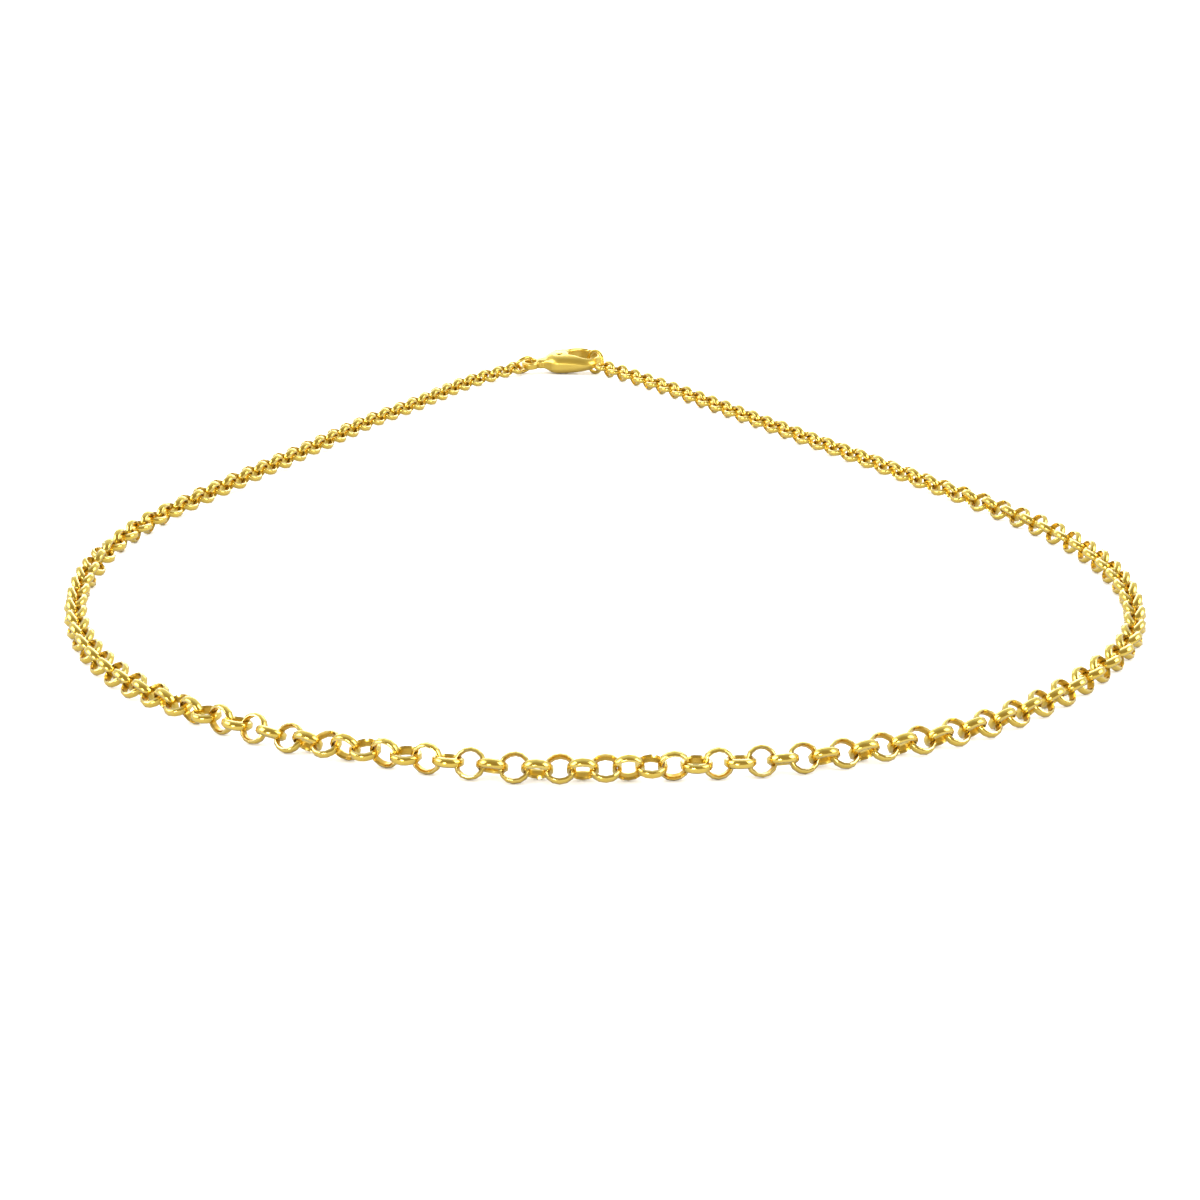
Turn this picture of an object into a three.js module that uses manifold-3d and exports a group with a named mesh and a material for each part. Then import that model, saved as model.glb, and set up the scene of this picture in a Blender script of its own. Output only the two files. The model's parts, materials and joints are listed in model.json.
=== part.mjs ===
// A rolo chain necklace lying on a surface, closed by a lobster clasp.
// Millimetres, +Z up. The origin is on the surface, under the middle of the necklace's box.
// The clasp is at the far side (+Y), and the front of the drop-shaped loop is at -Y.

import * as THREE from 'three';
import { mergeVertices } from 'three/addons/utils/BufferGeometryUtils.js';
import Module from 'manifold-3d';

// ---------------------------------------------------------------- driving dimensions

// Chain: round links, each linkDiameter across, fill a tube along the chain's route.
const linkDiameter = 2.88;
const chainSides = 8;
const chainStep = 2.6 * linkDiameter;

// The route of the chain's middle line on the surface, from the end ring on the right,
// down the right side, round the front and up the left side to the clasp's ring.
const chainRoute = [
  [0.6, 83.6], [6.5, 74.8], [14.7, 61.1], [22.4, 47.1], [30.2, 33.1], [38.0, 19.2],
  [45.6, 5.1], [53.3, -8.8], [58.4, -23.9], [59.4, -39.8], [55.7, -55.3], [47.0, -68.5],
  [35.2, -79.3], [20.9, -86.0], [5.3, -89.0], [-10.5, -88.5], [-25.7, -83.5],
  [-39.3, -75.4], [-50.0, -63.6], [-56.8, -49.2], [-59.6, -33.5], [-58.5, -17.7],
  [-54.0, -2.4], [-48.1, 12.5], [-42.1, 27.3], [-36.3, 42.2], [-29.3, 56.6],
  [-22.9, 71.2], [-15.2, 83.4],
];

// Jump rings: round wire closed to a ring.
const endRingRadius = 1.85;
const claspRingRadius = 1.65;
const ringWire = 0.32;
const ringSides = 10;
const ringSteps = 28;

// Clasp, in its own frame: u from the eye to the hook, v across to the lever's side.
// It leans on its long axis, its lever's side up, because the rings pass under it.
const claspPlace = [-2.7, 87.2, 2.25];
const claspYaw = THREE.MathUtils.degToRad(7);
const claspPitch = THREE.MathUtils.degToRad(-3);
const claspRoll = THREE.MathUtils.degToRad(11);
const hookRadius = 3.45;
const rootRadius = 2.5;
const rootCentre = [-4.6, -0.2];
const mouthRadius = 2.15;
const mouthRootRadius = 1.35;
const mouthRootCentre = [-1.6, 0.1];
const shellMiddle = -4.0;
const shellHalf = [7.7, 4.7, 1.7];
const edgeHeight = 1.1;
const edgeInset = 0.62;
const plateHalf = shellHalf[2] + 0.1;
const cutterHalf = shellHalf[2] + 0.5;

// Eye and neck at the clasp's tail.
const eyeCentre = [-9.7, -0.2];
const eyeRadius = 1.6;
const eyeHole = 0.95;
const eyeHalf = 0.6;
const eyeRimHeight = 0.35;
const eyeRimInset = 0.25;
const neckWidths = [1.5, 2.9];
const neckHalf = 0.8;
const neckRimHeight = 0.3;
const neckRimInset = 0.2;

// Lever: it turns on the rivet, and its tip closes against the hook.
const rivetPlace = [-4.6, -0.4];
const rivetRadius = 0.4;
const rivetHalf = shellHalf[2] - 0.02;
const rivetHole = 0.46;
const leverHole = 0.48;
const cheekRadius = 1.55;
const leverInner = 1.75;
const leverReach = 6.1;
const hookReach = 6.3;
const leverAngles = [5, 112];
const hookAngles = [3, 120];
const reliefAngles = [-26, 4];
const reliefReach = 2.25;
const tongueRadius = 1.35;
const tongueHalf = 0.5;
const webInner = 0.8;
const webOuter = 2.15;
const webAngles = [40, 104];
const slotHalf = 0.65;
const slotRadius = 1.62;
const thumbCentre = [-4.9, 2.25];
const thumbHalf = [1.05, 1.0, 1.2];

// Where the rings hold: the direction from the hook's middle, and from the eye, in plan.
const endRingAngle = THREE.MathUtils.degToRad(-42);
const endRingHeading = THREE.MathUtils.degToRad(-48);
const endRingDistance = 2.4;
const endRingTilt = THREE.MathUtils.degToRad(84);
const claspRingAngle = THREE.MathUtils.degToRad(-145);
const claspRingDistance = 1.4;
const claspRingTilt = THREE.MathUtils.degToRad(58);

// How finely the round forms of the clasp are faceted.
const arcSteps = 12;
const rimSteps = 4;
const shellSteps = [48, 24];
const thumbSteps = [20, 12];
const pinSteps = 16;
const slotSteps = 32;

// ---------------------------------------------------------------- solids and booleans

const wasm = await Module();
wasm.setup();

// Turns a closed three.js geometry into a solid, with its shared corners merged.
function toSolid(geometry) {
  const bare = geometry.clone();
  bare.deleteAttribute('normal');
  bare.deleteAttribute('uv');
  const merged = mergeVertices(bare, 1e-5);
  return new wasm.Manifold(new wasm.Mesh({
    numProp: 3,
    vertProperties: new Float32Array(merged.attributes.position.array),
    triVerts: new Uint32Array(merged.index.array),
  }));
}

// Turns a solid back into a geometry for a Mesh.
function toGeometry(solid) {
  const mesh = solid.getMesh();
  const geometry = new THREE.BufferGeometry();
  geometry.setAttribute('position', new THREE.BufferAttribute(new Float32Array(mesh.vertProperties), 3));
  geometry.setIndex(new THREE.BufferAttribute(new Uint32Array(mesh.triVerts), 1));
  geometry.computeVertexNormals();
  return geometry;
}

// A prism of an outline, centred on the clasp's middle plane.
function prism(outline, half) {
  const geometry = new THREE.ExtrudeGeometry(outline, {
    depth: 2 * half,
    bevelEnabled: false,
    curveSegments: arcSteps,
  });
  geometry.translate(0, 0, -half);
  return toSolid(geometry);
}

// A prism whose rims are rounded inwards.
function roundedPrism(outline, half, rimHeight, rimInset) {
  const geometry = new THREE.ExtrudeGeometry(outline, {
    depth: 2 * (half - rimHeight),
    bevelEnabled: true,
    bevelThickness: rimHeight,
    bevelSize: rimInset,
    bevelOffset: -rimInset,
    bevelSegments: rimSteps,
    curveSegments: arcSteps,
  });
  geometry.translate(0, 0, -(half - rimHeight));
  return toSolid(geometry);
}

// An ellipsoid with its middle on the clasp's middle plane.
function ellipsoid(centre, half, steps) {
  const geometry = new THREE.SphereGeometry(1, ...steps);
  geometry.rotateX(Math.PI / 2);
  geometry.scale(half[0], half[1], half[2]);
  geometry.translate(centre[0], centre[1], 0);
  return toSolid(geometry);
}

// An upright round drum, centred on the clasp's middle plane.
function drum(centre, radius, half, steps) {
  const geometry = new THREE.CylinderGeometry(radius, radius, 2 * half, steps);
  geometry.rotateX(Math.PI / 2);
  geometry.translate(centre[0], centre[1], 0);
  return toSolid(geometry);
}

// ---------------------------------------------------------------- outlines

// Adds the outline of a belt laid round two circles: the big one on the right,
// the small one on the left.
function beltAround(path, bigCentre, bigRadius, smallCentre, smallRadius) {
  const across = bigCentre[0] - smallCentre[0];
  const up = bigCentre[1] - smallCentre[1];
  const along = Math.atan2(up, across);
  const lean = Math.acos((smallRadius - bigRadius) / Math.hypot(across, up));
  path.absarc(bigCentre[0], bigCentre[1], bigRadius, along - lean, along + lean, false);
  path.absarc(smallCentre[0], smallCentre[1], smallRadius, along + lean, along - lean + 2 * Math.PI, false);
  path.closePath();
  return path;
}

// Part of a flat ring round the rivet, between two radii and two angles in degrees.
function rivetSector(inner, outer, angles) {
  const start = THREE.MathUtils.degToRad(angles[0]);
  const end = THREE.MathUtils.degToRad(angles[1]);
  const sector = new THREE.Shape();
  sector.absarc(rivetPlace[0], rivetPlace[1], outer, start, end, false);
  sector.absarc(rivetPlace[0], rivetPlace[1], inner, end, start, true);
  sector.closePath();
  return sector;
}

// ---------------------------------------------------------------- the chain

function makeChain() {
  const points = chainRoute.map(([x, y]) => new THREE.Vector3(x, y, linkDiameter / 2));
  const route = new THREE.CatmullRomCurve3(points, false, 'catmullrom', 0.5);
  const corner = linkDiameter / 2 / Math.cos(Math.PI / chainSides);
  const section = new THREE.Shape();
  for (let side = 0; side < chainSides; side += 1) {
    const angle = (2 * side + 1) * Math.PI / chainSides;
    const place = [corner * Math.cos(angle), corner * Math.sin(angle)];
    if (side === 0) section.moveTo(...place);
    else section.lineTo(...place);
  }
  section.closePath();
  return new THREE.ExtrudeGeometry(section, {
    steps: Math.round(route.getLength() / chainStep),
    bevelEnabled: false,
    extrudePath: route,
  });
}

// ---------------------------------------------------------------- the clasp

// The claw and the lever are cut from one domed teardrop with a mouth in it.
function makeTeardrop() {
  const outline = beltAround(new THREE.Shape(), [0, 0], hookRadius, rootCentre, rootRadius);
  outline.holes.push(beltAround(new THREE.Path(), [0, 0], mouthRadius, mouthRootCentre, mouthRootRadius));
  const plate = roundedPrism(outline, plateHalf, edgeHeight, edgeInset);
  return plate.intersect(ellipsoid([shellMiddle, 0], shellHalf, shellSteps));
}

function makeEye() {
  const ring = new THREE.Shape();
  ring.absarc(eyeCentre[0], eyeCentre[1], eyeRadius, 0, 2 * Math.PI, false);
  const hole = new THREE.Path();
  hole.absarc(eyeCentre[0], eyeCentre[1], eyeHole, 0, 2 * Math.PI, false);
  ring.holes.push(hole);
  const start = eyeCentre[0] + (eyeRadius + eyeHole) / 2;
  const end = rootCentre[0] - rootRadius / 2;
  const neck = new THREE.Shape();
  neck.moveTo(start, eyeCentre[1] - neckWidths[0] / 2);
  neck.lineTo(end, eyeCentre[1] - neckWidths[1] / 2);
  neck.lineTo(end, eyeCentre[1] + neckWidths[1] / 2);
  neck.lineTo(start, eyeCentre[1] + neckWidths[0] / 2);
  neck.closePath();
  const eye = roundedPrism(ring, eyeHalf, eyeRimHeight, eyeRimInset);
  return eye.add(roundedPrism(neck, neckHalf, neckRimHeight, neckRimInset));
}

// The claw: room for the lever is cut away beyond the cheeks, with a step of relief where
// the lever's heel swings in, then the slot for its tongue and the hole for the rivet.
function makeClaspBody(teardrop) {
  const leverRoom = prism(rivetSector(cheekRadius, hookReach, hookAngles), cutterHalf);
  const relief = prism(rivetSector(cheekRadius, reliefReach, reliefAngles), cutterHalf);
  const slot = drum(rivetPlace, slotRadius, slotHalf, slotSteps);
  const hole = drum(rivetPlace, rivetHole, cutterHalf, pinSteps);
  return teardrop.subtract(leverRoom).subtract(relief).add(makeEye()).subtract(slot).subtract(hole);
}

// The lever: the teardrop's side opposite the arm, with the thumb tab, and a tongue on the rivet.
function makeClaspLever(teardrop) {
  const thumb = ellipsoid(thumbCentre, thumbHalf, thumbSteps);
  const reach = prism(rivetSector(leverInner, leverReach, leverAngles), cutterHalf);
  const web = prism(rivetSector(webInner, webOuter, webAngles), tongueHalf);
  const tongue = drum(rivetPlace, tongueRadius, tongueHalf, slotSteps).add(web);
  const hole = drum(rivetPlace, leverHole, cutterHalf, pinSteps);
  return teardrop.add(thumb).intersect(reach).add(tongue).subtract(hole);
}

function makeClaspRivet() {
  return drum(rivetPlace, rivetRadius, rivetHalf, pinSteps);
}

// ---------------------------------------------------------------- assembly

const gold = { color: 0xd9b44a, roughness: 0.2, metalness: 1.0 };

function addMesh(parent, name, geometry) {
  const mesh = new THREE.Mesh(geometry, new THREE.MeshStandardMaterial(gold));
  mesh.name = name;
  parent.add(mesh);
  return mesh;
}

// A jump ring at a place, leaning up from the surface by its tilt, with its plane along a heading.
function addRing(parent, name, radius, place, heading, tilt) {
  const mesh = addMesh(parent, name, new THREE.TorusGeometry(radius, ringWire, ringSides, ringSteps));
  mesh.position.set(place[0], place[1], radius * Math.sin(tilt) + ringWire);
  mesh.rotation.set(tilt, 0, heading, 'ZYX');
}

const necklace = new THREE.Group();
addMesh(necklace, 'chain', makeChain());

const clasp = new THREE.Group();
clasp.position.set(...claspPlace);
clasp.rotation.set(claspRoll, claspPitch, claspYaw, 'ZYX');
necklace.add(clasp);

const teardrop = makeTeardrop();
addMesh(clasp, 'clasp_body', toGeometry(makeClaspBody(teardrop)));
addMesh(clasp, 'clasp_lever', toGeometry(makeClaspLever(teardrop)));
addMesh(clasp, 'clasp_rivet', toGeometry(makeClaspRivet()));

addRing(necklace, 'end_ring', endRingRadius, [
  claspPlace[0] + endRingDistance * Math.cos(endRingAngle),
  claspPlace[1] + endRingDistance * Math.sin(endRingAngle),
], endRingHeading, endRingTilt);

clasp.updateMatrixWorld();
const eyePlace = clasp.localToWorld(new THREE.Vector3(...eyeCentre, 0));
addRing(necklace, 'clasp_ring', claspRingRadius, [
  eyePlace.x + claspRingDistance * Math.cos(claspRingAngle),
  eyePlace.y + claspRingDistance * Math.sin(claspRingAngle),
], claspRingAngle, claspRingTilt);

export default necklace;
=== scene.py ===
# %% [markdown]
# # A gold rolo chain necklace, fastened and laid on a table
#
# A rolo chain is made of small round rings of half-round wire, each threaded through the
# next at a right angle. This one has 222 of them, about 46 cm with its clasp, and it lies in
# a drop-shaped loop. A lobster clasp holds the two ends: a cast claw, a sprung gate on a
# rivet, and a jump ring at either side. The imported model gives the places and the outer
# sizes, and this script makes the surfaces that show: every link, the clasp's soft cast
# forms, the rings with their butt joints, and the gold itself.

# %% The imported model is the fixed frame
import json
import math

import bpy
import numpy as np
from mathutils import Euler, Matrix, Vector


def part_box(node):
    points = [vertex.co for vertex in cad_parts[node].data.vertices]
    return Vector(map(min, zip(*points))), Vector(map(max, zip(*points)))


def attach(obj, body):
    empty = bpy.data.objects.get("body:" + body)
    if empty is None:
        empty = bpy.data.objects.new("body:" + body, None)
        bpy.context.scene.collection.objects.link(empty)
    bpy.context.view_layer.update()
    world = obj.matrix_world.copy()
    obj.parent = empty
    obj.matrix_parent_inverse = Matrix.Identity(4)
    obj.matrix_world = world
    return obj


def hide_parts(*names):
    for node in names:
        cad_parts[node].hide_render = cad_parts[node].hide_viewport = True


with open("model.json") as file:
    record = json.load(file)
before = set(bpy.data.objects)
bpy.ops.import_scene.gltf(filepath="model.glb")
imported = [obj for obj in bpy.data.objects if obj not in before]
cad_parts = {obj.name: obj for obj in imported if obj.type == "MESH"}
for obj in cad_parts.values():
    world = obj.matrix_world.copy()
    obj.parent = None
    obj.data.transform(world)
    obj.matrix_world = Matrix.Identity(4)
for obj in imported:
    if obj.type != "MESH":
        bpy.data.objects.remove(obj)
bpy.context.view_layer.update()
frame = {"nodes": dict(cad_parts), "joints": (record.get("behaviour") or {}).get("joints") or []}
MM = 0.001
print("nodes in the frame:", sorted(frame["nodes"]))

# %% [markdown]
# ## The camera
#
# The necklace is seen from the front and from low down, so the front links are large and
# the clasp is small behind them. A camera could also be aimed with a Track To constraint.
# Three numbers are plainer: how far in front it stands, how high, and how far it looks down.

# %% The camera
CAMERA_PLACE = (-0.1 * MM, -241.3 * MM, 68.5 * MM)
CAMERA_LOOKS_DOWN = 18.70
CAMERA_LENS = 56.4
CAMERA_NEAR, CAMERA_FAR = 10 * MM, 100.0

camera_data = bpy.data.cameras.new("camera")
camera_data.lens = CAMERA_LENS
camera_data.clip_start = CAMERA_NEAR
camera_data.clip_end = CAMERA_FAR
camera = bpy.data.objects.new("camera", camera_data)
camera.location = CAMERA_PLACE
camera.rotation_euler = (math.radians(90 - CAMERA_LOOKS_DOWN), 0, 0)
bpy.context.scene.collection.objects.link(camera)
bpy.context.scene.camera = camera
print("camera looks down by", CAMERA_LOOKS_DOWN, "degrees through a", CAMERA_LENS, "mm lens")

# %% [markdown]
# ## Rings of points become skins
#
# Nearly every surface here is a profile carried along a path: at each step of the path
# there is one closed ring of points. Blender's curve bevels could do this too, but then the
# profile is the same all the way. With numpy, the whole set of rings is one array, worked
# out from a formula, and each ring may differ.

# %% Skins from rings of points
def skin_faces(rings, sides, round_trip):
    """Faces over rings x sides points. Corner (r, c) joins (r, c + 1), (r + 1, c + 1) and
    (r + 1, c), where columns wrap; rows wrap on a round trip, and otherwise both ends
    are closed by one flat face each."""
    rows = np.arange(rings if round_trip else rings - 1)[:, None]
    columns = np.arange(sides)[None, :]
    after = (rows + 1) % rings
    beside = (columns + 1) % sides
    corners = [
        rows * sides + columns, rows * sides + beside,
        after * sides + beside, after * sides + columns,
    ]
    faces = np.stack(corners, axis=-1).reshape(-1, 4).tolist()
    if not round_trip:
        faces.append(list(range(sides - 1, -1, -1)))
        faces.append(list(range((rings - 1) * sides, rings * sides)))
    return faces


def new_piece(name, points, faces):
    """A mesh object at the origin, with smooth shading, from points in metres."""
    mesh = bpy.data.meshes.new(name)
    mesh.from_pydata(np.asarray(points).reshape(-1, 3).tolist(), [], faces)
    mesh.validate()
    mesh.shade_smooth()
    piece = bpy.data.objects.new(name, mesh)
    bpy.context.scene.collection.objects.link(piece)
    return piece


def skin(name, ring_points, round_trip):
    """A piece whose surface joins an array of rings x sides x 3 points."""
    rings, sides = ring_points.shape[:2]
    return new_piece(name, ring_points, skin_faces(rings, sides, round_trip))


def unit(vectors):
    """Each vector divided by its own length."""
    return vectors / np.linalg.norm(vectors, axis=-1, keepdims=True)


print("a tube of 5 rings of 8 points has", len(skin_faces(5, 8, False)), "faces with its ends")

# %% [markdown]
# ## The line that the chain follows
#
# The loop is a drop: two nearly straight runs from the clasp, and a round front. A Bezier
# curve object could hold it. A Catmull-Rom spline passes through every point that is given,
# so the points can be read as places on the table, and it is the same curve that the
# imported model's tube follows.

# %% The route, in millimetres on the table
CHAIN_ROUTE = [
    # across from the middle, back from the middle
    (0.6, 83.6), (6.5, 74.8), (14.7, 61.1), (22.4, 47.1), (30.2, 33.1), (38.0, 19.2),
    (45.6, 5.1), (53.3, -8.8), (58.4, -23.9), (59.4, -39.8), (55.7, -55.3), (47.0, -68.5),
    (35.2, -79.3), (20.9, -86.0), (5.3, -89.0), (-10.5, -88.5), (-25.7, -83.5),
    (-39.3, -75.4), (-50.0, -63.6), (-56.8, -49.2), (-59.6, -33.5), (-58.5, -17.7),
    (-54.0, -2.4), (-48.1, 12.5), (-42.1, 27.3), (-36.3, 42.2), (-29.3, 56.6),
    (-22.9, 71.2), (-15.2, 83.4),
]
STEPS_PER_SPAN = 60
START_REACH, END_REACH = 0.32 * MM, 0.52 * MM  # so that the end links hang in their rings


def spline_through(points, steps):
    """Catmull-Rom spline: on each span between two points, a cubic whose slope at either
    point is half the way from the point before to the point after."""
    before = 2 * points[:1] - points[1:2]
    after = 2 * points[-1:] - points[-2:-1]
    padded = np.vstack([before, points, after])
    share = np.linspace(0, 1, steps, endpoint=False)[None, :, None]
    start, end = padded[1:-2, None], padded[2:-1, None]
    leave = (end - padded[:-3, None]) / 2
    arrive = (padded[3:, None] - start) / 2
    curve = (2 * share**3 - 3 * share**2 + 1) * start + (share**3 - 2 * share**2 + share) * leave
    curve = curve + (3 * share**2 - 2 * share**3) * end + (share**3 - share**2) * arrive
    return np.vstack([curve.reshape(-1, points.shape[1]), points[-1:]])


line = spline_through(np.array(CHAIN_ROUTE) * MM, STEPS_PER_SPAN)
line = np.vstack([
    line[:1] - START_REACH * unit(line[1:2] - line[:1]),
    line,
    line[-1:] + END_REACH * unit(line[-1:] - line[-2:-1]),
])
line_length = np.concatenate([[0], np.cumsum(np.linalg.norm(np.diff(line, axis=0), axis=1))])
print("chain line:", round(line_length[-1] / MM, 1), "mm")

# %% [markdown]
# ## One link
#
# A link is a ring of half-round wire: a full dome outside, a narrow flat wall inside, and
# a slanted flank on either side of the wall. The edge between dome and flank is the bright
# line that runs round every real link. A torus primitive would have a round wire and no such
# line. With 222 links each one must be light, so the profile has six corners and the
# ring fourteen steps. The wall stays outside half the distance between two links, so that
# no link cuts into the next.

# %% The link's profile
LINK_COUNT = 222
LINK_RADIUS = 1.49 * MM
HOLE_RADIUS = 1.065 * MM
EDGE_RADIUS = 1.19 * MM
HALF_WIDTH = 0.46 * MM
WALL_HALF_WIDTH = 0.22 * MM
LINK_STEPS = 14
DOME_CORNERS = 4
DOME_FULLNESS = 1.07  # the dome's flat sides cut inside the true curve


def link_profile():
    """The wire's section as (distance from the link's middle, place across the link):
    half an ellipse outside, from edge to edge, and then the two corners of the wall."""
    turn = np.linspace(0, math.pi, DOME_CORNERS)
    outward = EDGE_RADIUS + (LINK_RADIUS - EDGE_RADIUS) * DOME_FULLNESS * np.sin(turn)
    across = HALF_WIDTH * np.cos(turn)
    wall = np.array([-WALL_HALF_WIDTH, WALL_HALF_WIDTH])
    return np.append(outward, [HOLE_RADIUS] * 2), np.append(across, wall)


profile_outward, profile_across = link_profile()
print("faces in one link:", LINK_STEPS * len(profile_outward))

# %% [markdown]
# ## How the links lie
#
# Links of odd and even number stand at a right angle to each other. A chain that is laid
# down also turns about its own line. Here it lies one way along the right side, turns over
# slowly along the front, and lies the other way up the left side. A physics simulation
# could find this, but it would be slow and hard to steer, so a short table gives the
# turn at a few links, and the links between share it out. A second one says where the
# chain is a little stretched or slack.

# %% The turn of the chain about its own line
CHAIN_TURNS = [
    # link number, degrees by which the even links are tipped up
    (0, 0), (30, 18), (46, 28), (54, 50), (60, 64), (72, 62), (80, 30), (84, 32), (88, 48),
    (100, 54), (102, 42), (108, 0), (112, -30), (116, -48), (120, -84), (124, -110),
    (126, -128), (130, -165), (134, -200), (137, -218), (148, -222), (152, -208),
    (156, -210), (160, -240), (165, -280), (168, -270), (173, -240), (221, -240),
]
LINK_SLACK = [
    # link number, millimetres by which it is pushed on along the line
    (0, 0), (100, 0), (108, -0.2), (119, 0), (131, 0.2), (142, 0), (221, 0),
]
ROLL_LOOSENESS = 1.5
TURN_SMOOTHING = np.array([1, 2, 1]) / 4
RANDOM_SEED = 2


def chain_turns(count):
    """The turn at every link in radians: straight lines between the table's rows, then
    each value averaged with its two neighbours, plus a little seeded looseness."""
    numbers, degrees = np.array(CHAIN_TURNS, float).T
    turns = np.interp(np.arange(-1, count + 1), numbers, degrees)
    turns = np.convolve(turns, TURN_SMOOTHING, mode="valid")
    loose = np.random.default_rng(RANDOM_SEED).normal(0, ROLL_LOOSENESS, count)
    return np.radians(turns + loose)


def resting_height(turn):
    """How far a link's middle lies above the table when it is tipped by a turn: the edge's
    height, plus the reach of the half-round dome."""
    edge = EDGE_RADIUS * np.abs(np.sin(turn))
    dome = np.hypot((LINK_RADIUS - EDGE_RADIUS) * np.sin(turn), HALF_WIDTH * np.cos(turn))
    return edge + DOME_FULLNESS * dome


number = np.arange(LINK_COUNT)
pushed = np.interp(number, *np.array(LINK_SLACK).T) * MM
along_line = number / (LINK_COUNT - 1) * line_length[-1] + pushed
turn = chain_turns(LINK_COUNT)
height = np.maximum(resting_height(turn), resting_height(turn + math.pi / 2))
print("links are", np.round(np.diff(along_line).mean() / MM, 3), "mm apart")

# %% Every link's own directions
place = np.stack([
    np.interp(along_line, line_length, line[:, 0]),
    np.interp(along_line, line_length, line[:, 1]),
    height,
], axis=1)
ahead = unit(np.gradient(place, axis=0))
sideways = unit(np.cross([0, 0, 1], ahead))
upward = np.cross(ahead, sideways)
link_turn = (turn + (number % 2) * math.pi / 2)[:, None]
spread = np.cos(link_turn) * sideways + np.sin(link_turn) * upward
axle = np.cross(ahead, spread)
print("first link at", np.round(place[0] / MM, 2), "last at", np.round(place[-1] / MM, 2))


# %% All the links as one piece
def step_angles(count):
    """Angles round a link, from half a step on, so that a flat and not a corner is where
    the next link hangs."""
    return (np.arange(count) + 0.5) / LINK_STEPS * 2 * math.pi


def step_directions(count):
    """Links x steps x 3: the cosine of each angle ahead plus its sine along the spread."""
    angle = step_angles(count)[None, :, None]
    return np.cos(angle) * ahead[:, None, :] + np.sin(angle) * spread[:, None, :]


def link_points():
    """Links x steps x corners x 3 points: the link's middle, plus the profile's outward
    distance in the direction of each step round the ring, plus its place along the axle."""
    rim = step_directions(LINK_STEPS)[:, :, None, :] * profile_outward[None, None, :, None]
    width = axle[:, None, None, :] * profile_across[None, None, :, None]
    return place[:, None, None, :] + rim + width


def link_faces():
    """The faces of one link, repeated with each link's first point added on."""
    sides = len(profile_outward)
    one = np.array(skin_faces(LINK_STEPS, sides, True))
    first = np.arange(LINK_COUNT)[:, None, None] * LINK_STEPS * sides
    return (one[None] + first).reshape(-1, 4).tolist()


links = new_piece("links", link_points(), link_faces())
print("links:", len(links.data.polygons), "faces")

# %% [markdown]
# ## Shading a light mesh as true wire
#
# Six corners and fourteen steps would look like a nut. More faces would cure that, but the
# whole chain would take about a million. Plain smooth shading would smear the crisp edges
# of the wire. So each face corner is told the normal of the true wire at its place: round
# over the dome and round the ring, and flat across the flanks and the wall.

# %% Normals of the true wire
def profile_normals():
    """Outward and across parts of the normal at both ends of each side of the profile. On
    the dome they are those of an ellipse. The flanks and the wall are flat."""
    turn = np.linspace(0, math.pi, DOME_CORNERS)
    depth = LINK_RADIUS - EDGE_RADIUS
    dome = unit(np.stack([HALF_WIDTH * np.sin(turn), depth * np.cos(turn)], axis=1))
    flank = unit(np.array([WALL_HALF_WIDTH - HALF_WIDTH, EDGE_RADIUS - HOLE_RADIUS]))
    flats = np.array([flank * [1, -1], [-1, 0], flank])
    return np.stack([np.vstack([dome[:-1], flats]), np.vstack([dome[1:], flats])], axis=1)


def link_normals():
    """Links x steps x sides x 4 face corners x 3: the outward part in the direction of the
    corner's step, plus the across part along the axle."""
    direction = step_directions(LINK_STEPS + 1)
    here, next_step = direction[:, :-1], direction[:, 1:]
    outward = np.stack([here, here, next_step, next_step], axis=2)[:, :, None]
    parts = profile_normals()[None, None, :, [0, 1, 1, 0]]
    return outward * parts[..., :1] + axle[:, None, None, None, :] * parts[..., 1:]


corner = np.arange(len(links.data.vertices)) % len(profile_outward)
edge_ends = np.zeros(len(links.data.edges) * 2, int)
links.data.edges.foreach_get("vertices", edge_ends)
edge_ends = corner[edge_ends.reshape(-1, 2)]
crisp_corners = [0, DOME_CORNERS - 1, DOME_CORNERS, DOME_CORNERS + 1]
on_rim = (edge_ends[:, 0] == edge_ends[:, 1]) & np.isin(edge_ends[:, 0], crisp_corners)
sharp = links.data.attributes.new("sharp_edge", "BOOLEAN", "EDGE")
sharp.data.foreach_set("value", on_rim)
links.data.normals_split_custom_set(link_normals().reshape(-1, 3).tolist())
print("crisp edges:", int(on_rim.sum()))

# %% [markdown]
# ## Marks of making, painted highlights and painted shade
#
# No two links look the same: some took a warmer plate, a painted highlight makes them all
# pale where dome and flank meet, and painted shade darkens the inside, most of all where the
# next links hang.
# Painting an image would need a map for every link. Three numbers at each point say the
# same in a few bytes (tone, rim and recess), and a map that runs along the wire carries the
# fine lines that rolling left.

# %% Where the links are marked, with painted highlights and painted shade
# the least share of painted shade on a link's inside, away from where the next links hang
RECESS_LEAST = 0.65


def give_values(piece, name, values):
    """One number at every point of a piece, under a name that a material can read."""
    layer = piece.data.attributes.new(name, "FLOAT", "POINT")
    layer.data.foreach_set("value", np.asarray(values, np.float32).ravel())


def give_wire_map(piece, along, across):
    """A UV map whose first value runs along the wire and whose second runs round it."""
    layer = piece.data.uv_layers.new(name="wire")
    layer.uv.foreach_set("vector", np.stack([along, across], axis=-1).astype(np.float32).ravel())


def wire_map(rings, sides):
    """The map of one skin: rows + (0, 0, 1, 1) along it, columns + (0, 1, 1, 0) round it."""
    along = np.arange(rings)[:, None, None] + np.array([0, 0, 1, 1])
    across = np.arange(sides)[None, :, None] + np.array([0, 1, 1, 0])
    return np.broadcast_arrays(along / rings, across / sides)


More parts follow.
